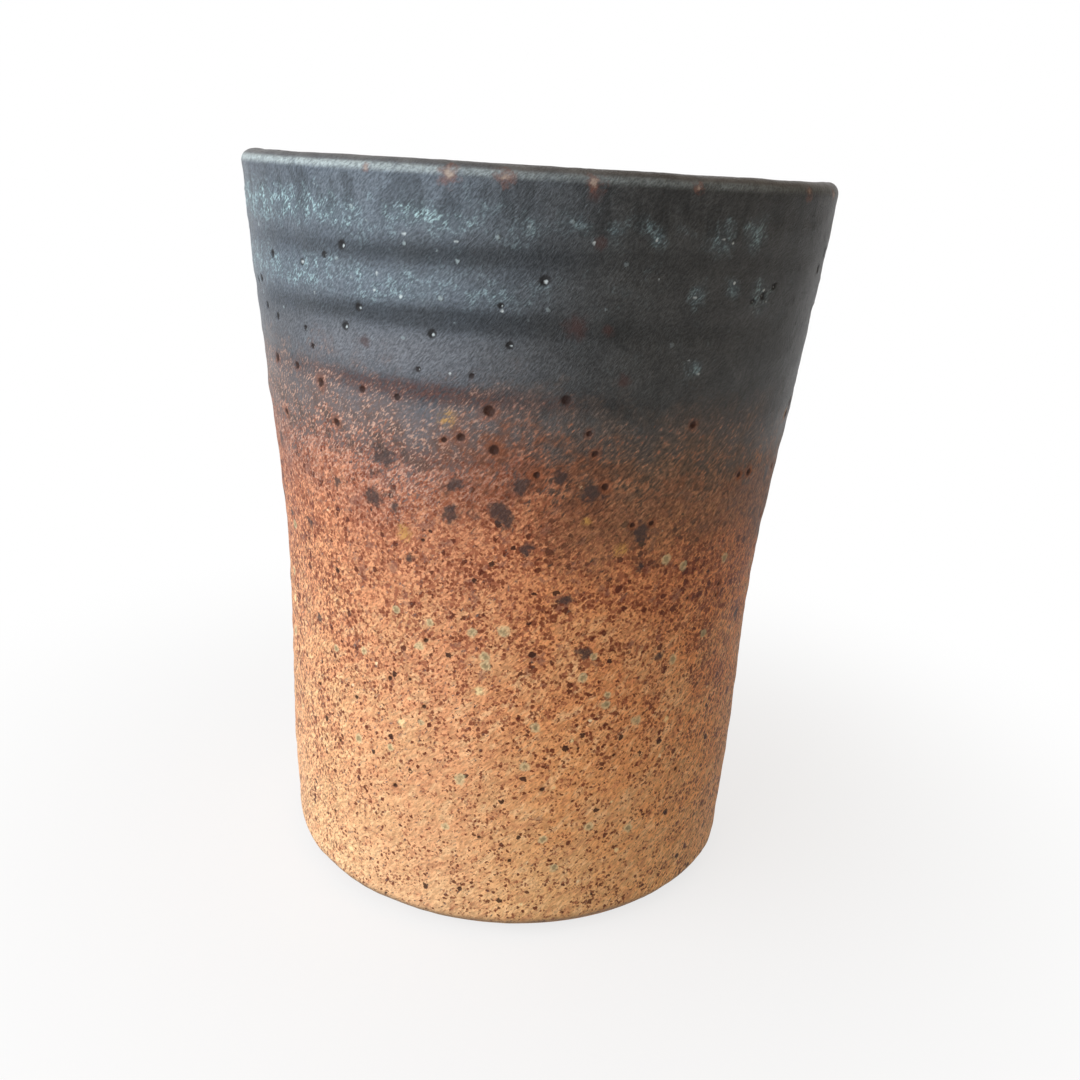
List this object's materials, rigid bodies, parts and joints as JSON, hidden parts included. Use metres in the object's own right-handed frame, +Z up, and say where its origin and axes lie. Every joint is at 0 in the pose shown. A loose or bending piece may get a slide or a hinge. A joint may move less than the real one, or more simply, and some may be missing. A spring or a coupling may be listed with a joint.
{
  "type": "sake cup",
  "caption": "Tall wheel-thrown stoneware sake cup with a flared lip, throwing rings, a turned foot, a dark dipped rim glaze over a speckled tan wall glaze and a dark liner.",
  "frame": {"origin": "centre of the plane that the foot ring rests on", "axes": "+Z up along the cup's axis of revolution; +X and +Y are any two directions square to it, and the pictured side faces -Y"},
  "size_m": [0.06, 0.06, 0.0756],
  "materials": {
    "stoneware": "bare fired stoneware, dry and slightly grainy, warm tan-brown with fine iron specks",
    "dark_glaze": "satin blue-black glaze with frosty blue-grey mottling on the ridges, rust-brown breaks in the grooves and on the lip, and small pinholes",
    "speckled_glaze": "thin satin tan glaze, orange-brown under the dark glaze and paler towards the foot, thickly flecked with iron specks, with pale ringed spots and pinholes",
    "liner_glaze": "satin dark grey-brown liner glaze with soft throwing rings, breaking to brown"
  },
  "bodies": {
    "root": {"stoneware_body": "stoneware", "dark_rim_glaze": "dark_glaze", "speckled_wall_glaze": "speckled_glaze", "liner_glaze": "liner_glaze"}
  },
  "joints": []
}
